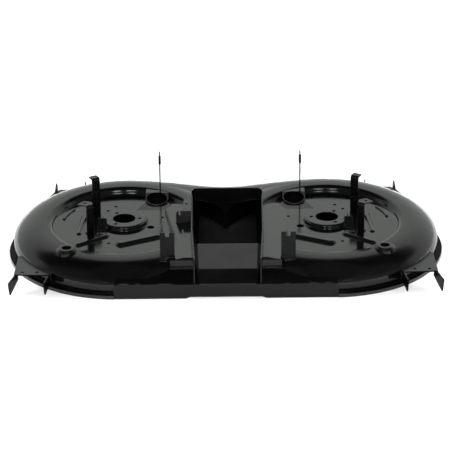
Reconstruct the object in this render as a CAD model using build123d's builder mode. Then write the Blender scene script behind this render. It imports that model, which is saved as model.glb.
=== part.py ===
"""Pressed-steel cutting deck with two blade chambers, rear outlet and welded brackets.

Millimetres.  X runs across the deck, Y points to the front of the tractor, Z is up.
The rim stands on Z = 0 and the two spindle axes lie on Y = 0.
"""
import os
from math import cos, radians, sin
from build123d import *

os.makedirs("parts", exist_ok=True)
SIDES = ((-1, "left"), (1, "right"))
UP = (Align.CENTER, Align.CENTER, Align.MIN)

# Sheet and main form
SHEET = 2.5             # pressed sheet of the shell
PLATE = 3.0             # welded plates
SPINDLE = 247.5         # half the distance between the spindle axes
SKIRT_R = 270.0         # upright skirt of one chamber
RIM_W = 12.0            # flat flange round the foot of the skirt
RIM_Z = 9.0             # its height; a lip leads down from it
DISC_Z = 72.0           # flat floor round each spindle
CROWN_Z = 82.0          # mean height of the ring round the floor
CROWN_R = 199.0         # where the ring starts to fall away outside
CROWN_IN = 187.0        # where it starts to fall to the floor inside
CROWN_BEND = 16.0       # radius of both bends of that inner wall
CROWN_TURN = 66.0       # degrees, its steepest slope
RING_Z = 35.0           # where the ring turns into the skirt
LEAN = 2.8              # degrees, ring high at the front and low at the rear
FACET_Y = -223.0        # rear edge of the flat floor, with a flat slope below it
FACET_TILT = 40.0       # degrees
PAD_R = 49.5            # flat top of the raised pad under each spindle housing
PAD_Z = 83.0
PAD_TURN = 84.0         # degrees, its steepest side
SINK = 0.8              # raised forms start this far below the floor they stand on
SPINDLE_HOLE = 27.5     # radius
BOLT_R = 38.0           # bolt circle radius of the spindle housing
BOLT_HOLE = 4.5

# Middle block and the apron behind it
MID_Z = 79.0            # top of the middle, rising from the floors
MID_FLAT = 100.0        # half width of its flat top
MID_FOOT = 150.0        # half width where its slopes reach the floor
MID_TAIL = 131.0        # half width of its rear wall
MID_TAIL_L = 36.0       # length over which it narrows to that
MID_REAR = 229.0        # rear wall of the middle
MID_ROUND = 7.0         # rounding of its top edge
MID_STEP = 52.0         # foot of that wall, where a slope leads to the apron
MID_FRONT = 107.0
MID_LAP = 15.0          # the slope starts this far under the block
APRON_Y = 277.0         # inside face of the apron, behind the spindle line
APRON_H = 36.0
APRON_HALF = 262.0
APRON_RISE = 4.0        # the middle of its lower edge is lifted
APRON_RISE_HALF = 84.0

# Outlet: half widths of its outside at the front, at the kink and at the rear
OUT_X = 4.0             # its middle stands a little to the right
OUT_FRONT = 88.5
OUT_KINK = 86.5
OUT_REAR = 79.0
OUT_FRONT_Y = 101.0     # inside of the front plate
OUT_KINK_Y = -110.0
OUT_TOP = 118.0         # top edge of the front plate
OUT_TOP_SIDE = 106.0    # top edge of the side plates at the front and at the rear
OUT_TOP_REAR = 100.0
OUT_LOW = 64.0          # lower edge of the side plates inside the deck
OUT_CORNER = 13.0
WINDOW_Y = (-95.0, 0.0)  # recess in the lower edge of each side plate
WINDOW_Z = 75.0
RAMP_Y = -128.0         # front edge of the rear plate
RAMP_Z = 71.0
RAMP_BEND = 14.0        # bend where it turns down to the apron

# Pressed forms on each chamber, in the right-hand half
NOSE_Z = 88.5           # top of the hanger's tongue, which runs out from the ring
NOSE_R = 28.0           # its half width and round end
NOSE_Y = (190.0, 146.0, 88.0)       # inside the ring, start of the slope, end of the slope
NOSE_END = 75.0
CUP = (171.0, 122.0)    # deep cup in the tongue
CUP_R = 25.5
CUP_Z = 70.0
FAN = ((199, 114), (225, 66), (114, 66), (143, 114))    # low field in front of it, sloping to the floor
FAN_Z = 76.0
PORT = (377.0, -166.0)  # flat under the wash port
PORT_SEAT_R = 25.0
PORT_Z = 75.5
PORT_HOLE = 11.5
BEADS = (((250, -131), (166, -88), 3.0, 7.0), ((350, -130), (290, -83), 2.0, 5.5),
         ((347, 38), (354, -66), 1.0, 4.0))     # both ends, half width of the top, height
BEAD_TURN = 55.0        # degrees, steepest part of their sides
RIDGE_R = 150.0         # thin curved ridge round the spindle
RIDGE = (9.0, 23.0, 10.0, 3.5)      # start and sweep in degrees, width, height
RIDGE_TAPER = 25.0      # degrees
DISC_HOLES = ((272.0, 98.0), (290.5, 72.0), (279.0, -122.0), (154.5, 29.0))
HOLE_R = 4.0
BIG_HOLE = (182.0, -30.0)
BIG_HOLE_R = 9.0

# Brackets, in the right-hand half
BEND = 3.0              # inside bend of folded strips
HANGER_X = 175.0
HANGER_SHIFT = 12.0     # both hangers stand to the right
HANGER_Y = 160.0
HANGER_W = 20.0
HANGER_TOP = 192.0
EYE_Z = 171.0
EYE_R = 11.0
EYE_HOLE = 6.0
EYE_L = 6.0
TALL = (326.0, 53.0)    # near corner of the tall strip
TALL_TURN = 60.0        # degrees, direction of its tab
TALL_W = 21.0
TALL_TOP = 165.0
TALL_TAB = 19.0
LOW = (333.0, -69.0)
LOW_TURN = 59.0
LOW_W = 18.0
LOW_TOP = 145.0
LOW_FOLD = 12.0
LOW_TAB = ((3, 5.5), (23, 15), (8, 34), (-11, 28), (-12.5, 14.5))   # plan of its tab, from that corner
LOW_HOLE = (5.0, 20.0)
FOOT_L = 12.0
TAB_HOLE = 4.0
PIVOT_X = 299.0
PIVOT_W = 20.0
PIVOT_FOOT = 9.0
PIVOT_Y = (-66.0, -16.0)
PIVOT_RISE = 20.0       # its drilled plate climbs by this
PIVOT_HOLES = (-53.0, -34.0)
PIVOT_HOLE = 4.5
NOTCH_X = 142.0
NOTCH_SHIFT = 5.0       # both stand a little to the right
NOTCH_W = 34.0
NOTCH_Y = -213.0
NOTCH_TOP = 138.0
NOTCH_R = 5.0
NOTCH_D = 11.0
STEP_Y = (-16.0, 72.0)
STEP_W = (24.0, 16.0)   # its top at the near and at the far end
STEP_FRONT = 37.0       # its upright flange
STEP_Z = 108.0
STEP_SLOT = (4.0, 11.0)
PORT_R = 23.0
PORT_NECK = 19.5
PORT_H = 5.5
WHEEL_AT = 44.3         # degrees round the chamber
WHEEL_Z = 38.0          # top of the rear wheel bracket plates
WHEEL_PLATE = ((58, -32), (-24, -36), (-31, -4), (29, 79), (56, 71))     # plan, from the skirt
WHEEL_HOLES = ((38.8, -20.4), (4.3, -20.4))
WHEEL_LEGS = (((51, -16), (67, -73)), ((-28, -16), (-15, -72)))
FRONT_AT = 56.4
FRONT_Z = 52.0
FRONT_PLATE = ((43, -55), (43, 11), (27, 33), (-41, 37), (-41, -5))
FRONT_LEGS = (((49, -13), (33, 29)), ((-39, 21), (-39, 37)))


def fall(r, z, bend, turn, way, t):
    """Two tangent arcs down from height z at radius r; way is 1 outwards, -1 inwards.  Gives their end."""
    a = radians(turn)
    CenterArc((r, z - bend), bend - t, 90, -way * turn)
    far = (r + 2 * way * bend * sin(a), z - bend + 2 * bend * cos(a))
    CenterArc(far, bend + t, -90 - way * turn, way * turn)
    return far[0], far[1] - bend - t


def bend_for(height, turn):
    """Radius of both bends of a side that falls by a height and a little more."""
    return (height + SINK) / 2 / (1 - cos(radians(turn)))


def chamber(side, t):
    """One blade chamber as a full body, every face pulled in by t."""
    x = side * SPINDLE
    lean = radians(LEAN)
    leaning = Plane(origin=(x, 0, RING_Z), x_dir=(1, 0, 0), z_dir=(0, -cos(lean), -sin(lean)))
    crown = CROWN_Z - RING_Z
    with BuildPart() as body:
        with BuildSketch(leaning):
            with BuildLine():
                foot = fall(CROWN_IN, crown, CROWN_BEND, CROWN_TURN, -1, t)
                Polyline(foot, (foot[0], -60), (SKIRT_R - t, -60), (SKIRT_R - t, 0))
                EllipticalCenterArc((CROWN_R, 0), SKIRT_R - CROWN_R - t, crown - t, 0, arc_size=90)
                Line((CROWN_R, crown - t), (CROWN_IN, crown - t))
            make_face()
        revolve(axis=Axis((x, 0, RING_Z), leaning.y_dir))
        with Locations((x, 0, -60)):
            Cylinder(CROWN_IN, 60 + DISC_Z - t, align=UP)
        tilt = radians(FACET_TILT)
        with Locations(Plane(origin=(x, FACET_Y, DISC_Z - t / cos(tilt)), x_dir=(1, 0, 0),
                             z_dir=(0, -sin(tilt), cos(tilt)))):
            Box(3 * SKIRT_R, 2 * SKIRT_R, SKIRT_R, align=UP, mode=Mode.SUBTRACT)
        # spindle pad
        with BuildSketch(Plane.XZ):
            with BuildLine():
                foot = fall(x + PAD_R, PAD_Z, bend_for(PAD_Z - DISC_Z, PAD_TURN), PAD_TURN, 1, t)
                Polyline(foot, (foot[0], RING_Z), (x, RING_Z), (x, PAD_Z - t), (x + PAD_R, PAD_Z - t))
            make_face()
        revolve(axis=Axis((x, 0, 0), (0, 0, 1)))
        # tongue for the hanger, with its cup, and the low field in front of it
        with BuildSketch(Plane.XY.offset(RING_Z)):
            with Locations((side * CUP[0], CUP[1])):
                Circle(NOSE_R - t)
                Rectangle(2 * (NOSE_R - t), NOSE_Y[0] - CUP[1], align=(Align.CENTER, Align.MIN))
        tongue = extrude(amount=NOSE_Z - RING_Z - t, mode=Mode.PRIVATE)
        with BuildSketch(Plane.YZ):
            with BuildLine():
                Polyline((NOSE_Y[0], RING_Z), (NOSE_Y[0], NOSE_Z - t), (NOSE_Y[1], NOSE_Z - t),
                         (NOSE_Y[2], NOSE_END - t), (NOSE_Y[2], RING_Z), close=True)
            make_face()
        slope = extrude(amount=SPINDLE + SKIRT_R, both=True, mode=Mode.PRIVATE)
        add(tongue & slope)
        with BuildSketch(Plane.XY.offset(RING_Z)):
            with BuildLine():
                Polyline(*[(side * u, v) for u, v in FAN], close=True)
            make_face()
            if t:
                offset(amount=-t, kind=Kind.INTERSECTION, mode=Mode.REPLACE)
        field = extrude(amount=FAN_Z - RING_Z - t, mode=Mode.PRIVATE)
        with BuildSketch(Plane.YZ):
            with BuildLine():
                Polyline((FAN[0][1], RING_Z), (FAN[0][1], FAN_Z - t), (FAN[1][1], DISC_Z - SINK - t),
                         (FAN[1][1], RING_Z), close=True)
            make_face()
        slope = extrude(amount=SPINDLE + SKIRT_R, both=True, mode=Mode.PRIVATE)
        add(field & slope)
        with Locations((side * CUP[0], CUP[1], CUP_Z - t)):
            Cylinder(CUP_R + t, SKIRT_R, align=UP, mode=Mode.SUBTRACT)
        # flat under the wash port
        with Locations((side * PORT[0], PORT[1], RING_Z)):
            Cylinder(PORT_SEAT_R - t, PORT_Z - RING_Z - t, align=UP)
        # raised beads with soft sides and round ends
        for start, end, half, height in BEADS:
            first = Vector(side * start[0], start[1], DISC_Z)
            last = Vector(side * end[0], end[1], DISC_Z)
            run = last - first
            bend = bend_for(height, BEAD_TURN)
            with BuildSketch(Plane(origin=first, x_dir=(-run.Y, run.X, 0), z_dir=run)):
                with BuildLine():
                    right = fall(half, height, bend, BEAD_TURN, 1, t)
                    left = fall(-half, height, bend, BEAD_TURN, -1, t)
                    Line((-half, height - t), (half, height - t))
                    Polyline(right, (right[0], RING_Z - DISC_Z), (left[0], RING_Z - DISC_Z), left)
                make_face()
            extrude(amount=run.length)
            for tip in (first, last):
                with BuildSketch(Plane(origin=tip, x_dir=(-run.Y, run.X, 0), z_dir=run)):
                    with BuildLine():
                        right = fall(half, height, bend, BEAD_TURN, 1, t)
                        Polyline(right, (right[0], RING_Z - DISC_Z), (0, RING_Z - DISC_Z), (0, height - t),
                                 (half, height - t))
                    make_face()
                revolve(axis=Axis(tip, (0, 0, 1)))
        begin, sweep, width, height = RIDGE
        with BuildSketch(Plane.XY.offset(DISC_Z - 2 - t)):
            SlotArc(CenterArc((x, 0), RIDGE_R, 90 - side * (90 - begin), side * sweep), width - t)
        extrude(amount=height + 2, taper=RIDGE_TAPER)
        # rim
        with Locations((x, 0, -60)):
            Cylinder(SKIRT_R + RIM_W - t, 60 + RIM_Z - t, align=UP)
    return body.part


def middle(t):
    """The body between the chambers; its hollow runs out to the apron."""
    slope = (MID_STEP - APRON_H) / (APRON_Y - MID_REAR)
    end = APRON_Y + 2 if t else APRON_Y
    step = MID_STEP - 1.13 * t
    with BuildPart() as body:
        with BuildSketch(Plane.XZ.offset(MID_REAR - t)):
            with BuildLine():
                Polyline((t - MID_FOOT, -60), (t - MID_FOOT, DISC_Z - t), (-MID_FLAT, MID_Z - t),
                         (MID_FLAT, MID_Z - t), (MID_FOOT - t, DISC_Z - t), (MID_FOOT - t, -60), close=True)
            make_face()
        extrude(amount=2 * t - MID_REAR - MID_FRONT)
        with BuildSketch(Plane.YZ.offset(-MID_FOOT)):
            with BuildLine():
                Polyline((MID_ROUND - MID_REAR, MID_Z - t), (MID_FRONT, MID_Z - t), (MID_FRONT, -60),
                         (t - MID_REAR, -60), (t - MID_REAR, MID_Z - MID_ROUND))
                CenterArc((MID_ROUND - MID_REAR, MID_Z - MID_ROUND), MID_ROUND - t, 90, 90)
            make_face()
        extrude(amount=2 * MID_FOOT, mode=Mode.INTERSECT)
        with BuildSketch(Plane.XY.offset(-60)):
            with BuildLine():
                Polyline((t - MID_TAIL, -MID_REAR), (MID_TAIL - t, -MID_REAR),
                         (MID_FOOT - t, MID_TAIL_L - MID_REAR), (MID_FOOT - t, MID_FRONT),
                         (t - MID_FOOT, MID_FRONT), (t - MID_FOOT, MID_TAIL_L - MID_REAR), close=True)
            make_face()
        extrude(amount=60 + MID_Z, mode=Mode.INTERSECT)
        with BuildSketch(Plane.YZ):
            with BuildLine():
                Polyline((MID_LAP - MID_REAR, -60), (MID_LAP - MID_REAR, step + MID_LAP * slope),
                         (-end, step - slope * (end - MID_REAR)), (-end, -60), close=True)
            make_face()
        extrude(amount=APRON_HALF - t, both=True)
    return body.part


def whole_form(t):
    """Both chambers and the middle as one body above the ground."""
    with BuildPart() as body:
        add(chamber(-1, t))
        add(chamber(1, t))
        add(middle(t))
        with Locations((0, 0, -5 if t else 0)):
            Box(6 * SPINDLE, 6 * SPINDLE, 100, align=(Align.CENTER, Align.CENTER, Align.MAX),
                mode=Mode.SUBTRACT)
    return body.part


def outlet_half(y):
    """Half width of the outside of the outlet at a given y."""
    if y > OUT_KINK_Y:
        return OUT_KINK + (OUT_FRONT - OUT_KINK) * (y - OUT_KINK_Y) / (OUT_FRONT_Y - OUT_KINK_Y)
    return OUT_REAR + (OUT_KINK - OUT_REAR) * (y + APRON_Y) / (OUT_KINK_Y + APRON_Y)


def outlet_plan(front, rear, inset=0):
    """Plan of the outlet between two stations along Y, pulled in by inset at both sides."""
    stations = [front] + [y for y in (OUT_FRONT_Y, OUT_KINK_Y) if rear < y < front] + [rear]
    edge = [(outlet_half(min(y, OUT_FRONT_Y)) - inset, y) for y in stations]
    with BuildSketch(mode=Mode.PRIVATE) as plan:
        with BuildLine():
            Polyline(*[(OUT_X + x, y) for x, y in edge],
                     *[(OUT_X - x, y) for x, y in reversed(edge)], close=True)
        make_face()
    return plan.sketch


def strip(side, corner, turn, width, top, tab):
    """An upright strip given by its near corner and the way its foot and tab are folded."""
    away = (side * cos(radians(turn)), sin(radians(turn)), 0)
    square = Plane(origin=(side * corner[0], corner[1], DISC_Z), x_dir=away, z_dir=(away[1], -away[0], 0))
    top = top - DISC_Z
    with BuildPart() as body:
        with BuildSketch(square) as fold:
            with BuildLine():
                Polyline((0, 0), (FOOT_L, 0), (FOOT_L, PLATE), (PLATE, PLATE), (PLATE, top - PLATE),
                         (tab, top - PLATE), (tab, top), (0, top), close=True)
            make_face()
            fillet(fold.vertices().group_by(Axis.X)[0], BEND + PLATE)
            fillet(fold.vertices().group_by(Axis.X)[1], BEND)
        extrude(amount=-side * width)
    return body.part


def on_skirt(side, degrees, offset):
    """A point in plan, given from the skirt at an angle round the chamber."""
    x = SPINDLE + SKIRT_R * cos(radians(degrees)) + offset[0]
    return side * x, SKIRT_R * sin(radians(degrees)) + offset[1]


def leg_plane(side, degrees, foot, toe):
    """Upright plane of a leg, running from its foot to its toe, and the leg's length."""
    a = Vector(*on_skirt(side, degrees, foot), 0)
    run = Vector(*on_skirt(side, degrees, toe), 0) - a
    return Plane(origin=a, x_dir=run, z_dir=(run.Y, -run.X, 0)), run.length


outer = whole_form(0)
inner = whole_form(SHEET)

# The pressed shell
with BuildPart() as deck_shell:
    add(outer)
    add(inner, mode=Mode.SUBTRACT)
    with Locations((0, -APRON_Y, -1)):
        Box(2 * APRON_HALF, 60, APRON_H + 1, align=(Align.CENTER, Align.MAX, Align.MIN), mode=Mode.SUBTRACT)
    with BuildSketch(Plane.XY.offset(OUT_LOW - 10)):
        add(outlet_plan(OUT_FRONT_Y, -APRON_Y - 5))
    extrude(amount=150, mode=Mode.SUBTRACT)
    with BuildSketch(Plane.XY.offset(APRON_H - 8)):
        add(outlet_plan(MID_LAP - MID_REAR + SHEET, -APRON_Y - 5))
    extrude(amount=150, mode=Mode.SUBTRACT)
    for side, word in SIDES:
        with Locations((side * SPINDLE, 0, DISC_Z)):
            Cylinder(SPINDLE_HOLE, 60, mode=Mode.SUBTRACT)
            with PolarLocations(BOLT_R, 3, start_angle=90 + 90 * side):
                Cylinder(BOLT_HOLE, 60, mode=Mode.SUBTRACT)
        with Locations((side * PORT[0], PORT[1], DISC_Z)):
            Cylinder(PORT_HOLE, 60, mode=Mode.SUBTRACT)
        with Locations([(side * x, y, DISC_Z) for x, y in DISC_HOLES]):
            Cylinder(HOLE_R, 30, mode=Mode.SUBTRACT)
        with Locations((side * BIG_HOLE[0], BIG_HOLE[1], DISC_Z)):
            Cylinder(BIG_HOLE_R, 30, mode=Mode.SUBTRACT)
deck_shell.part.label = "deck_shell"
export_step(deck_shell.part, "parts/deck_shell.step")

# Apron closing the rear between the chambers
with BuildPart() as rear_apron:
    with BuildSketch(Plane.XZ.offset(APRON_Y)):
        with BuildLine():
            Polyline((-APRON_HALF, 0), (-APRON_RISE_HALF - 10, 0), (-APRON_RISE_HALF, APRON_RISE),
                     (APRON_RISE_HALF, APRON_RISE), (APRON_RISE_HALF + 10, 0), (APRON_HALF, 0),
                     (APRON_HALF, APRON_H), (-APRON_HALF, APRON_H), close=True)
        make_face()
    extrude(amount=PLATE)
rear_apron.part.label = "rear_apron"
export_step(rear_apron.part, "parts/rear_apron.step")

# Outlet: front plate standing on the shell, two side plates and the ramp down to the apron
with BuildPart() as outlet_front_plate:
    with BuildSketch(Plane.XZ.offset(-OUT_FRONT_Y - PLATE)):
        with Locations((OUT_X, DISC_Z - 10)):
            plate = Rectangle(2 * OUT_FRONT, OUT_TOP - DISC_Z + 10, align=(Align.CENTER, Align.MIN))
        fillet(plate.vertices().group_by(Axis.Y)[-1], OUT_CORNER)
    extrude(amount=PLATE)
    add(outer, mode=Mode.SUBTRACT)
outlet_front_plate.part.label = "outlet_front_plate"
export_step(outlet_front_plate.part, "parts/outlet_front_plate.step")

for side, word in SIDES:
    with BuildPart() as outlet_side:
        with BuildSketch(Plane.XY.offset(APRON_H)):
            add(outlet_plan(OUT_FRONT_Y, -APRON_Y))
            add(outlet_plan(OUT_FRONT_Y + 1, -APRON_Y - 1, PLATE), mode=Mode.SUBTRACT)
            with Locations((OUT_X - side * OUT_FRONT, 0)):
                Rectangle(2 * OUT_FRONT, 3 * APRON_Y, mode=Mode.SUBTRACT)
        extrude(amount=OUT_TOP)
        with BuildSketch(Plane.YZ.offset(-2 * OUT_FRONT)):
            with BuildLine():
                Polyline((OUT_FRONT_Y, OUT_LOW), (OUT_FRONT_Y, OUT_TOP_SIDE), (-APRON_Y, OUT_TOP_REAR),
                         (-APRON_Y, APRON_H), (20 - MID_REAR, APRON_H), (20 - MID_REAR, OUT_LOW),
                         (WINDOW_Y[0], OUT_LOW), (WINDOW_Y[0], WINDOW_Z), (WINDOW_Y[1], WINDOW_Z),
                         (WINDOW_Y[1], OUT_LOW), close=True)
            make_face()
        extrude(amount=4 * OUT_FRONT, mode=Mode.INTERSECT)
    outlet_side.part.label = f"outlet_side_{word}"
    export_step(outlet_side.part, f"parts/outlet_side_{word}.step")

with BuildPart() as outlet_rear_plate:
    with BuildSketch(Plane.YZ.offset(OUT_X - OUT_FRONT)) as ramp:
        with BuildLine():
            top = ((RAMP_Y, RAMP_Z), (-MID_REAR, MID_STEP), (-APRON_Y, APRON_H))
            Polyline(*top, *[(y, z - PLATE) for y, z in reversed(top)], close=True)
        make_face()
        fillet(ramp.vertices().sort_by(Axis.X)[2:4], RAMP_BEND)
    extrude(amount=2 * OUT_FRONT)
    with BuildSketch(Plane.XY):
        add(outlet_plan(RAMP_Y, -APRON_Y, PLATE))
    extrude(amount=OUT_TOP, mode=Mode.INTERSECT)
outlet_rear_plate.part.label = "outlet_rear_plate"
export_step(outlet_rear_plate.part, "parts/outlet_rear_plate.step")

for side, word in SIDES:
    # Hanger standing on its nose behind the cup, with a thicker eye in its head
    with BuildPart() as front_hanger:
        across = side * HANGER_X + HANGER_SHIFT
        with BuildSketch(Plane.YZ.offset(across - PLATE / 2)):
            with BuildLine():
                Polyline((HANGER_Y - HANGER_W / 2, DISC_Z), (HANGER_Y + HANGER_W / 2, DISC_Z),
                         (HANGER_Y + EYE_R, EYE_Z), (HANGER_Y + 5, HANGER_TOP),
                         (HANGER_Y - 5, HANGER_TOP), (HANGER_Y - EYE_R, EYE_Z), close=True)
            make_face()
        extrude(amount=PLATE)
        with BuildSketch(Plane.YZ.offset(across - EYE_L / 2)):
            with Locations((HANGER_Y, EYE_Z)):
                Circle(EYE_R)
        extrude(amount=EYE_L)
        with BuildSketch(Plane.YZ.offset(across - EYE_L / 2)):
            with Locations((HANGER_Y, EYE_Z)):
                Circle(EYE_HOLE)
        extrude(amount=EYE_L, mode=Mode.SUBTRACT)
        add(outer, mode=Mode.SUBTRACT)
    front_hanger.part.label = f"front_hanger_{word}"
    export_step(front_hanger.part, f"parts/front_hanger_{word}.step")

    # Tall strip with a drilled tab
    with BuildPart() as tall_strip:
        add(strip(side, TALL, TALL_TURN, TALL_W, TALL_TOP, TALL_TAB))
        turn = radians(TALL_TURN)
        half = TALL_W / 2
        with Locations((side * (TALL[0] + 12 * cos(turn) - half * sin(turn)),
                        TALL[1] + 12 * sin(turn) + half * cos(turn), TALL_TOP)):
            Cylinder(TAB_HOLE, 20, mode=Mode.SUBTRACT)
    tall_strip.part.label = f"tall_strip_{word}"
    export_step(tall_strip.part, f"parts/tall_strip_{word}.step")

    # Lower strip with a skewed tab
    with BuildPart() as low_strip:
        add(strip(side, LOW, LOW_TURN, LOW_W, LOW_TOP, LOW_FOLD))
        with BuildSketch(Plane.XY.offset(LOW_TOP - PLATE)):
            with BuildLine():
                Polyline(*[(side * (LOW[0] + x), LOW[1] + y) for x, y in LOW_TAB], close=True)
            make_face()
        extrude(amount=PLATE)
        with Locations((side * (LOW[0] + LOW_HOLE[0]), LOW[1] + LOW_HOLE[1], LOW_TOP)):
            Cylinder(TAB_HOLE, 20, mode=Mode.SUBTRACT)
    low_strip.part.label = f"low_strip_{word}"
    export_step(low_strip.part, f"parts/low_strip_{word}.step")

    # Pivot bracket: a foot, a drilled plate that climbs beside the spindle pad and a leg down to the pad
    with BuildPart() as pivot_bracket:
        with BuildSketch(Plane.YZ.offset(side * PIVOT_X - PIVOT_W / 2)) as fold:
            with BuildLine():
                near, far = PIVOT_Y
                top = DISC_Z + PIVOT_RISE
                Polyline((near - PIVOT_FOOT, DISC_Z), (near - PIVOT_FOOT, DISC_Z + PLATE),
                         (near, DISC_Z + PLATE), (far + PLATE, top + PLATE), (far + PLATE, DISC_Z - PLATE),
                         (far, DISC_Z - PLATE), (far, top), (near, DISC_Z), close=True)
            make_face()
            fillet(fold.vertices().sort_by(Axis.Y)[-2], BEND)
            fillet(fold.vertices().sort_by(Axis.Y)[-1], BEND + PLATE)
        extrude(amount=PIVOT_W)
        with Locations([(side * PIVOT_X, y, top) for y in PIVOT_HOLES]):
            Cylinder(PIVOT_HOLE, 60, mode=Mode.SUBTRACT)
        add(outer, mode=Mode.SUBTRACT)
    pivot_bracket.part.label = f"pivot_bracket_{word}"
    export_step(pivot_bracket.part, f"parts/pivot_bracket_{word}.step")

    # Notched plate at the rear edge of the middle
    with BuildPart() as notch_plate:
        with BuildSketch(Plane.XZ.offset(-NOTCH_Y - PLATE)):
            with Locations((side * NOTCH_X + NOTCH_SHIFT, MID_STEP)):
                Rectangle(NOTCH_W, NOTCH_TOP - MID_STEP, align=(Align.CENTER, Align.MIN))
            with Locations((side * NOTCH_X + NOTCH_SHIFT, NOTCH_TOP)):
                SlotOverall(2 * NOTCH_D, 2 * NOTCH_R, rotation=90, mode=Mode.SUBTRACT)
        extrude(amount=PLATE)
        add(outer, mode=Mode.SUBTRACT)
    notch_plate.part.label = f"notch_plate_{word}"
    export_step(notch_plate.part, f"parts/notch_plate_{word}.step")

    # Wash port: a turned collar with a lower flange
    with BuildPart() as wash_port:
        here = Plane(origin=(side * PORT[0], PORT[1], PORT_Z), x_dir=(1, 0, 0), z_dir=(0, -1, 0))
        with BuildSketch(here):
            with BuildLine():
                Polyline((PORT_HOLE, 0), (PORT_R, 0), (PORT_R, 1.2), (PORT_R - 1.2, 2.2),
                         (PORT_NECK, 2.2), (PORT_NECK, PORT_H - 1.5), (PORT_NECK - 1.5, PORT_H),
                         (PORT_HOLE, PORT_H), close=True)
            make_face()
        revolve(axis=Axis(here.origin, (0, 0, 1)))
    wash_port.part.label = f"wash_port_{word}"
    export_step(wash_port.part, f"parts/wash_port_{word}.step")

    # Rear wheel bracket: a drilled plate against the skirt and two pointed legs
    with BuildPart() as rear_wheel:
        with BuildSketch(Plane.XY.offset(WHEEL_Z - PLATE)):
            with BuildLine():
                Polyline(*[on_skirt(side, -WHEEL_AT, p) for p in WHEEL_PLATE], close=True)
            make_face()
            with Locations([on_skirt(side, -WHEEL_AT, p) for p in WHEEL_HOLES]):
                Circle(TAB_HOLE, mode=Mode.SUBTRACT)
        extrude(amount=PLATE)
        for foot, toe in WHEEL_LEGS:
            upright, run = leg_plane(side, -WHEEL_AT, foot, toe)
            with BuildSketch(upright):
                with BuildLine():
                    Polyline((0, WHEEL_Z), (run, WHEEL_Z - 4), (run, WHEEL_Z - 9), (run - 6, 1),
                             (0, WHEEL_Z - 20), close=True)
                make_face()
            extrude(amount=PLATE / 2, both=True)
        add(outer, mode=Mode.SUBTRACT)
    rear_wheel.part.label = f"rear_wheel_bracket_{word}"
    export_step(rear_wheel.part, f"parts/rear_wheel_bracket_{word}.step")

    # Front wheel bracket: the same idea turned over, legs pointing up
    with BuildPart() as front_wheel:
        with BuildSketch(Plane.XY.offset(FRONT_Z - PLATE)):
            with BuildLine():
                Polyline(*[on_skirt(side, FRONT_AT, p) for p in FRONT_PLATE], close=True)
            make_face()
        extrude(amount=PLATE)
        for foot, toe in FRONT_LEGS:
            upright, run = leg_plane(side, FRONT_AT, foot, toe)
            with BuildSketch(upright):
                with BuildLine():
                    Polyline((0, FRONT_Z - 14), (run, FRONT_Z - 14), (run, FRONT_Z + 12),
                             (run - 4, FRONT_Z + 21), (run - 14, FRONT_Z), (0, FRONT_Z), close=True)
                make_face()
            extrude(amount=PLATE / 2, both=True)
        add(outer, mode=Mode.SUBTRACT)
    front_wheel.part.label = f"front_wheel_bracket_{word}"
    export_step(front_wheel.part, f"parts/front_wheel_bracket_{word}.step")

# Step bracket beside the outlet, on the left only
with BuildPart() as step_bracket:
    near, far = STEP_Y
    edge = OUT_X - outlet_half(near)
    with BuildSketch(Plane.XY.offset(STEP_Z - PLATE)):
        with BuildLine():
            Polyline((OUT_X, near), (OUT_X, far), (OUT_X - outlet_half(far) - STEP_W[1], far),
                     (edge - STEP_W[0], near), close=True)
        make_face()
        with Locations((edge - STEP_W[0] / 2, (near + far) / 2)):
            Circle(TAB_HOLE, mode=Mode.SUBTRACT)
    extrude(amount=PLATE)
    with BuildSketch(Plane.XZ.offset(-near - PLATE)):
        with BuildLine():
            Polyline((OUT_X, DISC_Z), (OUT_X, STEP_Z), (edge - STEP_FRONT + 5, STEP_Z),
                     (edge - STEP_FRONT, STEP_Z - 5), (edge - STEP_FRONT, DISC_Z), close=True)
        make_face()
        with Locations((edge - STEP_W[0] - STEP_SLOT[0], STEP_Z)):
            Rectangle(STEP_SLOT[0], 2 * STEP_SLOT[1], mode=Mode.SUBTRACT)
    extrude(amount=PLATE)
    add(outer, mode=Mode.SUBTRACT)
    with BuildSketch(Plane.XY):
        add(outlet_plan(OUT_FRONT_Y, -APRON_Y))
    extrude(amount=2 * OUT_TOP, mode=Mode.SUBTRACT)
step_bracket.part.label = "step_bracket"
export_step(step_bracket.part, "parts/step_bracket.step")
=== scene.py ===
"""Studio scene for the pressed-steel cutting deck: gloss black paint, its front between the chambers,
outlet lining, weld beads and a pale floor. Lengths are in metres."""
import math
import random
import bpy
import bmesh
from mathutils import Matrix, Vector
from mathutils.bvhtree import BVHTree


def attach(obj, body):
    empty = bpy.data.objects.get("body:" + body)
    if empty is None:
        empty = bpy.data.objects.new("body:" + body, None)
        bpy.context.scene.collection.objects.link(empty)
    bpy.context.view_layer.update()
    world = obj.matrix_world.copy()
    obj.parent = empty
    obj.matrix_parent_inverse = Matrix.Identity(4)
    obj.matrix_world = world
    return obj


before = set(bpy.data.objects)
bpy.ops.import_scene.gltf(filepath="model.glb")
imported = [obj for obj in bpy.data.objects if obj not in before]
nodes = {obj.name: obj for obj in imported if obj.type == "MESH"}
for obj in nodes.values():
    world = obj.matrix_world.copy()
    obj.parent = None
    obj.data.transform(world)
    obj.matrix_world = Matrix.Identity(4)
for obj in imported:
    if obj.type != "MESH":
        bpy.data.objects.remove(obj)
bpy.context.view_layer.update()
scene = bpy.context.scene
scene.view_settings.view_transform = "Standard"
scene.view_settings.look = "None"

# The photograph's viewpoint, fitted to the deck: metres and degrees
VIEW_TILT = 23.933
VIEW_ROLL = 0.55
VIEW_AT = (0.001067, 0.0, 0.060)
VIEW_FAR = 4.892563
SENSOR = 36.0           # mm
PHOTO_WIDTH = 452       # pixels
LENS = SENSOR * 2000 / PHOTO_WIDTH
CLIP_FAR = 100

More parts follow.
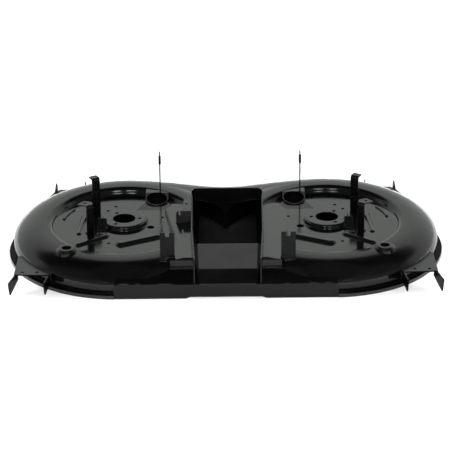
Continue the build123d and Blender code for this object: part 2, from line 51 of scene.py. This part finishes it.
# Studio: brightness seen by the paint, as (sine of the height, level)
AHEAD = ((0.0, 0.80), (0.12, 1.10), (0.73, 1.10), (0.80, 0.16), (0.86, 0.03), (1.0, 0.02))
BEHIND = ((0.0, 0.45), (0.34, 0.36), (0.46, 0.20), (0.80, 0.18), (0.95, 0.14), (1.0, 0.02))
SIDE_BLEND = 0.12       # half the width of the change from behind to ahead
WALL_ARCH = 0.35        # the wall ahead is lower towards its sides
KEY_HEIGHT = (0.60, 0.74)       # two lamps behind the camera, between two sines of the height
KEY_SIDE = (0.11, 0.25)         # and between two sines to either side
KEY_BEHIND = (-0.1, 0.0)        # they fade out between these
KEY_SOFT = 0.02         # softness of their upper and lower edges
KEY_SIDE_SOFT = 0.03
KEY_LEVEL = 12.0
TINT = (0.975, 1.015, 0.98)
FILL = 45.0             # watts of a soft lamp over the deck, and of a weak one for the ground inside it
GROUND_FILL = 1.1
FILL_AT = (0, -2.2, 2.0)
FILL_SIZE = 2.5
FLOOR_LAMP = 970.0      # watts of each low lamp round the floor
FLOOR_LAMPS = 4
FLOOR_LAMP_FAR = 5.0
FLOOR_LAMP_TILT = 9.0
FLOOR_LAMP_SIZE = (5.0, 0.5)
FLOOR_HALF = 14.0
FLOOR_GREY = 0.86
FLOOR_ROUGH = 0.9

# Paint: noise is given as (scale, detail), a spread as (from, to, value there, value there)
CLOUD_NOISE, CLOUD = (9.0, 4.0), (0.42, 0.72, 0.0, 1.0)
SPECK_NOISE, SPECK = (900.0, 1.0), (0.70, 0.80, 0.0, 0.25)
BLUE = 1.06             # the black's cast
DUST = 2.2              # dusty spots are this much lighter
GLOSS_NOISE, GLOSS = (14.0, 5.0), (0.3, 0.75)
GLOSS_RANGE = 0.10
EDGE_R = 0.0016         # rounding that the paint gives to edges
EDGE_SAMPLES = 6
WAVE_NOISE = (11.0, 1.0)
PEEL_NOISE = (230.0, 2.0)
PEEL = 0.00002          # depth of the orange peel
SHIFT = (1.0, 0.37, 0.71)       # direction in which a paint's seed moves its noise
SHINE = 0.5             # of the paint in general
RIM_TOP = (0.0096, 0.0115)      # the rim ends between these heights
RIM_PAINTED_SHADE = (0.3, 0.7, 1.0, 0.03)           # painted shade and sheen on the rim: mirror level by the upward share of a face, steep faces brighter and upward faces nearly black
# painted shade on the wheel brackets' legs: steep faces mirror little, upward faces as the paint in
# general
LEG_PAINTED_SHADE = (0.4, 0.85, 0.04, SHINE)

# Which nodes take which paint: the first match counts
PAINT_OF = (("deck_shell", "shell"), ("outlet_rear_plate", "ramp"), ("rear_apron", "plate"),
            ("outlet_", "plate"), ("notch_plate", "dull"), ("step_bracket", "lightened_satin"),
            ("rear_wheel_bracket", "wheel"), ("", "bracket"))

SHARP = 0.5             # radians between the faces at a sharp edge

# Front bridge: the ring's section carried across between the two chambers
SPINDLE = 0.2475        # half the distance between the chambers
SKIRT_R = 0.270
BRIDGE_R = 1.0          # hollow radius of its front, which runs smoothly into both chambers
BRIDGE_STEPS = 48
CROWN_D = 0.071         # from the skirt in to the ring's flat top
CROWN_STEPS = 12
CROWN_REACH = 0.193     # the top ends under the chambers' own rings, or at the outlet
CROWN_Z = 0.082
RING_Z = 0.035
LEAN = math.tan(math.radians(2.8))
RIM_Z = 0.009
RIM = ((-0.012, 0.0), (-0.012, RIM_Z), (0.0, RIM_Z))
OUTLET_FRONT = 0.1045
UNDER = 0.0003          # it lies this far below the chambers' rings
DIP = 0.0095            # and its front falls this much to the middle
DIP_POWER = 4
FEEL = 0.0005           # step in which its inner end is sought
SHEET = 0.0025

# Outlet lining: y, half width at the top, height of the top, inset and height of the foot
OUTLET_X = 0.004
LINING = ((0.098, 0.0852, 0.105, 0.013, 0.064), (-0.110, 0.0832, 0.102, 0.013, 0.064),
          (-0.128, 0.0824, 0.102, 0.010, 0.0715), (-0.229, 0.0778, 0.100, 0.009, 0.0525),
          (-0.277, 0.0757, 0.099, 0.009, 0.0365))
LINING_SHEET = 0.0012

# Weld beads: full ones round the brackets, short tacks along the long plates
BEAD_R = 0.0017
TACK_R = 0.0025
BEAD_STEP = 0.0015
BEAD_VARIES = (0.8, 1.2)
BEAD_SEED = 4
SAME = 1e-6             # points nearer than this are one
TOUCH = 0.0004          # an edge this near to the other piece carries a bead
TOP_EDGE = 0.5          # least upward share of a face beside a tack
PLATE_FACE = 0.103      # the outlet's front plate has beads ahead of this only
NO_BEAD = ("deck_shell", "outlet_rear_plate", "wash_port")
APRON_TACKS = ((-0.249, -0.227), (-0.210, -0.202), (-0.156, -0.127),
               (0.138, 0.148), (0.194, 0.210), (0.230, 0.247))
SIDE_TACKS = ((-0.262, -0.250), (-0.206, -0.192), (-0.128, -0.112), (-0.030, -0.016), (0.062, 0.080))


def make_camera():
    """A camera far off, a little above the deck and turned by a small roll."""
    tilt = math.radians(VIEW_TILT)
    roll = math.radians(VIEW_ROLL)
    ahead = Vector((0, math.cos(tilt), -math.sin(tilt)))
    up = Vector((0, math.sin(tilt), math.cos(tilt)))
    right = Vector((1, 0, 0))
    side = right * math.cos(roll) - up * math.sin(roll)
    top = up * math.cos(roll) + right * math.sin(roll)
    place = Vector(VIEW_AT) - ahead * VIEW_FAR
    cam = bpy.data.cameras.new("camera")
    cam.sensor_width = SENSOR
    cam.lens = LENS
    cam.clip_end = CLIP_FAR
    obj = bpy.data.objects.new("camera", cam)
    obj.matrix_world = Matrix((
        (side.x, top.x, -ahead.x, place.x),
        (side.y, top.y, -ahead.y, place.y),
        (side.z, top.z, -ahead.z, place.z),
        (0, 0, 0, 1)))
    scene.collection.objects.link(obj)
    scene.camera = obj


class Nodes:
    """Shorthand for building a node tree."""

    def __init__(self, tree):
        self.tree = tree
        tree.nodes.clear()

    def add(self, kind, **values):
        node = self.tree.nodes.new(kind)
        for key, value in values.items():
            setattr(node, key, value)
        return node

    def link(self, a, b):
        self.tree.links.new(a, b)

    def spread(self, source, low, high, a, b):
        """Map a range of one value to another range."""
        node = self.add("ShaderNodeMapRange")
        for name, value in (("From Min", low), ("From Max", high), ("To Min", a), ("To Max", b)):
            node.inputs[name].default_value = value
        self.link(source, node.inputs["Value"])
        return node.outputs[0]

    def ramp(self, source, stops):
        """A grey ramp through the given places and levels."""
        node = self.add("ShaderNodeValToRGB")
        first, last = node.color_ramp.elements
        first.position, first.color = stops[0][0], (*[stops[0][1]] * 3, 1)
        last.position, last.color = stops[-1][0], (*[stops[-1][1]] * 3, 1)
        for place, level in stops[1:-1]:
            node.color_ramp.elements.new(place).color = (level, level, level, 1)
        self.link(source, node.inputs[0])
        return node.outputs[0]

    def math(self, operation, a, b):
        node = self.add("ShaderNodeMath", operation=operation)
        self.link(a, node.inputs[0])
        self.link(b, node.inputs[1])
        return node.outputs[0]

    def absolute(self, source):
        node = self.add("ShaderNodeMath", operation="ABSOLUTE")
        self.link(source, node.inputs[0])
        return node.outputs[0]

    def axes(self, vector):
        """The X, Y and Z of a vector."""
        node = self.add("ShaderNodeSeparateXYZ")
        self.link(vector, node.inputs[0])
        return node.outputs


def black_paint(name, tone, rough, wave, seed, ior=1.36, shade_by_facing=None, up_to=None):
    """Glossy black stove enamel over pressed or welded steel.

    Painted shade and sheen: such a paint mirrors more or less by the lie of its faces, all over or only
    up to a height."""
    mat = bpy.data.materials.new(name)
    mat.use_nodes = True
    n = Nodes(mat.node_tree)
    out = n.add("ShaderNodeOutputMaterial")
    skin = n.add("ShaderNodeBsdfPrincipled")
    skin.inputs["IOR"].default_value = ior
    n.link(skin.outputs[0], out.inputs[0])
    place = n.add("ShaderNodeTexCoord")
    shift = n.add("ShaderNodeVectorMath", operation="ADD")
    shift.inputs[1].default_value = [seed * way for way in SHIFT]
    n.link(place.outputs["Object"], shift.inputs[0])

    def noise(scale, detail):
        tex = n.add("ShaderNodeTexNoise")
        tex.inputs["Scale"].default_value = scale
        tex.inputs["Detail"].default_value = detail
        n.link(shift.outputs[0], tex.inputs["Vector"])
        return tex.outputs["Fac"]

    def bump(height, depth, normal):
        node = n.add("ShaderNodeBump")
        node.inputs["Strength"].default_value = 1.0
        node.inputs["Distance"].default_value = depth
        n.link(height, node.inputs["Height"])
        n.link(normal, node.inputs["Normal"])
        return node.outputs[0]

    # near black, with faint cloudy dust and fine specks
    cloud = n.spread(noise(*CLOUD_NOISE), *CLOUD)
    speck = n.spread(noise(*SPECK_NOISE), *SPECK)
    colour = n.add("ShaderNodeMix", data_type="RGBA")
    colour.inputs[6].default_value = (tone, tone, tone * BLUE, 1)
    colour.inputs[7].default_value = (tone * DUST, tone * DUST, tone * DUST, 1)
    n.link(n.math("MAXIMUM", cloud, speck), colour.inputs[0])
    n.link(colour.outputs[2], skin.inputs["Base Color"])

    # gloss varies a little in patches
    gloss = n.spread(noise(*GLOSS_NOISE), *GLOSS, rough, rough + GLOSS_RANGE)
    n.link(gloss, skin.inputs["Roughness"])

    # paint rounds the sheet's edges; the pressing waves a little; the paint has orange peel
    edge = n.add("ShaderNodeBevel", samples=EDGE_SAMPLES)
    edge.inputs["Radius"].default_value = EDGE_R
    waves = bump(noise(*WAVE_NOISE), wave, edge.outputs[0])
    n.link(bump(noise(*PEEL_NOISE), PEEL, waves), skin.inputs["Normal"])

    # painted shade and sheen: the mirror level follows the upward share of each face
    if shade_by_facing:
        upward = n.absolute(n.axes(place.outputs["Normal"])["Z"])
        painted_shade = n.spread(upward, *shade_by_facing)
        if up_to:
            above = n.add("ShaderNodeMix", data_type="FLOAT")
            n.link(n.spread(n.axes(place.outputs["Object"])["Z"], *up_to, 0.0, 1.0), above.inputs[0])
            n.link(painted_shade, above.inputs[2])
            above.inputs[3].default_value = SHINE
            painted_shade = above.outputs[0]
        n.link(painted_shade, skin.inputs["Specular IOR Level"])
    return mat


def dress():
    """Give each node its paint and add what the solids lack. Returns the front bridge."""
    paints = {
        "shell": black_paint("shell_paint", 0.0032, 0.085, 0.0006, 0.0, shade_by_facing=RIM_PAINTED_SHADE, up_to=RIM_TOP),
        "plate": black_paint("plate_paint", 0.0028, 0.15, 0.0004, 3.1, ior=1.31),
        "ramp": black_paint("ramp_paint", 0.0028, 0.15, 0.0004, 5.3, ior=1.42),
        "bracket": black_paint("bracket_paint", 0.0028, 0.18, 0.0002, 7.7),
        "dull": black_paint("dull_paint", 0.0028, 0.24, 0.0002, 9.1, ior=1.22),
        # painted light: the step bracket's black is far lighter (tone 0.020 against 0.0028) and mirrors
        # more, which brightens its front flange
        "lightened_satin": black_paint("lightened_satin_paint", 0.020, 0.34, 0.0002, 11.3, ior=1.42),
        "wheel": black_paint("wheel_bracket_paint", 0.0028, 0.18, 0.0002, 7.7, shade_by_facing=LEG_PAINTED_SHADE),
        # painted shade: the lining's paint barely mirrors (IOR 1.10), which keeps the outlet's inner
        # faces black
        "lining": black_paint("shaded_lining_paint", 0.0024, 0.30, 0.0002, 13.9, ior=1.10),
        "bead": black_paint("bead_paint", 0.0028, 0.06, 0.0002, 13.9, ior=1.5),
    }
    for name, node in nodes.items():
        paint = next(paint for start, paint in PAINT_OF if name.startswith(start))
        node.data.materials.clear()
        node.data.materials.append(paints[paint])
    bridge = front_bridge(paints["shell"])
    outlet_lining(paints["lining"])
    weld(paints["bead"])
    return bridge


def add_piece(name, bm, paint):
    """Turn a finished mesh into a piece of the part."""
    for face in bm.faces:
        face.smooth = True
    mesh = bpy.data.meshes.new(name)
    bm.to_mesh(mesh)
    bm.free()
    mesh.materials.append(paint)
    piece = bpy.data.objects.new(name, mesh)
    scene.collection.objects.link(piece)
    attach(piece, "root")
    return piece


def sheet_piece(name, rows, thick, paint):
    """A sheet through rows of points, given a thickness."""
    bm = bmesh.new()
    grid = [[bm.verts.new(point) for point in row] for row in rows]
    for row, after in zip(grid, grid[1:]):
        for k in range(len(row) - 1):
            bm.faces.new((row[k], row[k + 1], after[k + 1], after[k]))
    bm.normal_update()
    bmesh.ops.solidify(bm, geom=bm.faces[:], thickness=thick)
    bmesh.ops.recalc_face_normals(bm, faces=bm.faces)
    for edge in bm.edges:
        edge.smooth = edge.calc_face_angle(0) < SHARP
    return add_piece(name, bm, paint)


def front_bridge(paint):
    """The front of the deck between the chambers, which the solids lack."""
    far = math.sqrt((BRIDGE_R + SKIRT_R) ** 2 - SPINDLE ** 2)
    half = math.asin(SPINDLE / (BRIDGE_R + SKIRT_R))

    def place(turn, d, z, dip=DIP):
        x = (BRIDGE_R + d) * math.sin(turn)
        y = far - (BRIDGE_R + d) * math.cos(turn)
        if z > RIM_Z:
            z += y * LEAN - UNDER - dip * (1 - (turn / half) ** 2) ** DIP_POWER
        return Vector((x, y, z))

    rows = []
    for k in range(BRIDGE_STEPS + 1):
        turn = half * (2 * k / BRIDGE_STEPS - 1)
        row = [place(turn, d, z) for d, z in RIM]
        for j in range(CROWN_STEPS + 1):
            a = math.radians(90 / CROWN_STEPS * j)
            d = UNDER + CROWN_D * (1 - math.cos(a))
            row.append(place(turn, d, RING_Z + (CROWN_Z - RING_Z) * math.sin(a)))
        # the top runs in, level with the rings, until it is under one of them or meets the outlet
        d = CROWN_D
        while True:
            d += FEEL
            point = place(turn, d, CROWN_Z, 0.0)
            reach = math.hypot(abs(point.x) - SPINDLE, point.y)
            if reach < CROWN_REACH or point.y < OUTLET_FRONT:
                break
        row.append(point)
        rows.append(row)
    return sheet_piece("front_bridge", rows, SHEET, paint)


def outlet_lining(paint):
    """The inner faces of the outlet, which lean in towards the foot."""
    for side, word in ((-1, "left"), (1, "right")):
        rows = [[Vector((OUTLET_X + side * half, y, top)),
                 Vector((OUTLET_X + side * (half - inset), y, foot))]
                for y, half, top, inset, foot in LINING]
        sheet_piece(f"outlet_lining_{word}", rows, LINING_SHEET, paint)


def sharp_edges(node):
    """The ends of each sharp edge of a node, and how far its faces look up."""
    bm = bmesh.new()
    bm.from_mesh(node.data)
    bm.transform(node.matrix_world)
    bmesh.ops.remove_doubles(bm, verts=bm.verts, dist=SAME)
    edges = []
    for edge in bm.edges:
        if len(edge.link_faces) == 2 and edge.calc_face_angle() > SHARP:
            a, b = (vert.co.copy() for vert in edge.verts)
            up = max(face.normal.z for face in edge.link_faces)
            edges.append((a, b, up))
    bm.free()
    return edges


def surface(node):
    """Search tree over a node's faces."""
    mesh = node.data
    points = [node.matrix_world @ vert.co for vert in mesh.vertices]
    return BVHTree.FromPolygons(points, [list(face.vertices) for face in mesh.polygons])


def along(edges, tree, wanted):
    """Points at an even step along the edges that touch the other piece."""
    points = []
    for a, b, up in edges:
        ends = (a, (a + b) / 2, b)
        if any(tree.find_nearest(p)[3] > TOUCH for p in ends):
            continue
        steps = max(1, round((b - a).length / BEAD_STEP))
        points += [p for p in (a.lerp(b, (k + 0.5) / steps) for k in range(steps)) if wanted(p, up)]
    return points


def bead(name, points, radius, paint, dice):
    """A rippled weld bead, as a row of small drops."""
    bm = bmesh.new()
    for point in points:
        size = radius * dice.uniform(*BEAD_VARIES)
        bmesh.ops.create_icosphere(bm, subdivisions=2, radius=size, matrix=Matrix.Translation(point))
    add_piece(name, bm, paint)


def within(value, spans):
    """Whether a value lies in one of the spans."""
    return any(low < value < high for low, high in spans)


def weld(paint):
    """Beads where the welded pieces meet the shell."""
    bpy.context.view_layer.update()
    dice = random.Random(BEAD_SEED)
    shell = nodes["deck_shell"]
    shell_tree = surface(shell)
    shell_edges = sharp_edges(shell)
    for name, node in nodes.items():
        if name.startswith(NO_BEAD):
            continue
        radius = BEAD_R
        if name == "rear_apron":
            radius = TACK_R
            points = along(shell_edges, surface(node),
                           lambda p, up: up > TOP_EDGE and within(p.x, APRON_TACKS))
        elif name.startswith("outlet_side"):
            points = along(shell_edges, surface(node),
                           lambda p, up: up > TOP_EDGE and within(p.y, SIDE_TACKS))
        elif name == "outlet_front_plate":
            points = along(sharp_edges(node), shell_tree, lambda p, up: p.y > PLATE_FACE)
        else:
            points = along(sharp_edges(node), shell_tree, lambda p, up: True)
        bead(f"weld_{name}", points, radius, paint, dice)


def make_floor():
    """A wide pale floor."""
    mesh = bpy.data.meshes.new("floor")
    corners = [(x * FLOOR_HALF, y * FLOOR_HALF, 0) for x, y in ((-1, -1), (1, -1), (1, 1), (-1, 1))]
    mesh.from_pydata(corners, [], [(0, 1, 2, 3)])
    floor = bpy.data.objects.new("floor", mesh)
    scene.collection.objects.link(floor)
    mat = bpy.data.materials.new("floor")
    mat.use_nodes = True
    skin = mat.node_tree.nodes["Principled BSDF"]
    skin.inputs["Base Color"].default_value = (FLOOR_GREY, FLOOR_GREY, FLOOR_GREY, 1)
    skin.inputs["Roughness"].default_value = FLOOR_ROUGH
    skin.inputs["Specular IOR Level"].default_value = 0.0
    floor.data.materials.append(mat)
    return floor


def make_world():
    """What the paint mirrors: a white wall ahead, a dark ceiling, a dim room and two key lamps behind."""
    world = bpy.data.worlds.new("studio")
    scene.world = world
    world.use_nodes = True
    world.cycles_visibility.diffuse = False
    n = Nodes(world.node_tree)
    out = n.add("ShaderNodeOutputWorld")
    back = n.add("ShaderNodeBackground")
    n.link(back.outputs[0], out.inputs[0])
    back.inputs["Color"].default_value = (*TINT, 1)
    parts = n.axes(n.add("ShaderNodeTexCoord").outputs["Generated"])
    height, deep, wide = parts["Z"], parts["Y"], n.absolute(parts["X"])

    arch = n.add("ShaderNodeMath", operation="MULTIPLY_ADD")
    arch.inputs[1].default_value = WALL_ARCH
    n.link(n.math("MULTIPLY", wide, wide), arch.inputs[0])
    n.link(height, arch.inputs[2])
    room = n.add("ShaderNodeMix", data_type="FLOAT")
    n.link(n.spread(deep, -SIDE_BLEND, SIDE_BLEND, 0.0, 1.0), room.inputs[0])
    n.link(n.ramp(height, BEHIND), room.inputs[2])
    n.link(n.ramp(arch.outputs[0], AHEAD), room.inputs[3])

    key = n.spread(height, KEY_HEIGHT[0] - KEY_SOFT, KEY_HEIGHT[0], 0.0, KEY_LEVEL)
    for source, inside, outside in ((height, KEY_HEIGHT[1], KEY_HEIGHT[1] + KEY_SOFT),
                                    (wide, KEY_SIDE[0], KEY_SIDE[0] - KEY_SIDE_SOFT),
                                    (wide, KEY_SIDE[1] - KEY_SIDE_SOFT, KEY_SIDE[1]),
                                    (deep, *KEY_BEHIND)):
        key = n.math("MULTIPLY", key, n.spread(source, inside, outside, 1.0, 0.0))
    n.link(n.math("ADD", room.outputs[0], key), back.inputs["Strength"])


def group(name, objects):
    """A collection of the objects that a lamp lights."""
    only = bpy.data.collections.new(name)
    for obj in objects:
        only.objects.link(obj)
    return only


def area_lamp(name, watts, size, place, lit):
    """A lamp that looks at the deck, lights one group and isn't mirrored."""
    lamp = bpy.data.lights.new(name, "AREA")
    lamp.shape = "RECTANGLE"
    lamp.size, lamp.size_y = size
    lamp.energy = watts
    obj = bpy.data.objects.new(name, lamp)
    obj.location = place
    obj.rotation_mode = "QUATERNION"
    obj.rotation_quaternion = (-obj.location).to_track_quat("-Z", "Y")
    obj.visible_glossy = False
    obj.light_linking.receiver_collection = lit
    scene.collection.objects.link(obj)


def floor_lamps(floor):
    """Low lamps on four sides that whiten the floor only."""
    only = group("floor_only", [floor])
    tilt = math.radians(FLOOR_LAMP_TILT)
    flat = FLOOR_LAMP_FAR * math.cos(tilt)
    for k in range(FLOOR_LAMPS):
        turn = math.radians(360 / FLOOR_LAMPS * k)
        place = (flat * math.cos(turn), flat * math.sin(turn), FLOOR_LAMP_FAR * math.sin(tilt))
        area_lamp("floor_lamp", FLOOR_LAMP, FLOOR_LAMP_SIZE, place, only)


def fill_lamps(floor, bridge):
    """Soft lamps that bring out the paint's own colour and the ground seen through the outlet."""
    for name, watts, lit in (("fill_lamp", FILL, [*nodes.values(), bridge]),
                             ("ground_lamp", GROUND_FILL, [floor])):
        area_lamp(name, watts, (FILL_SIZE, FILL_SIZE), FILL_AT, group(name, lit))


make_camera()
bridge = dress()
floor = make_floor()
make_world()
floor_lamps(floor)
fill_lamps(floor, bridge)
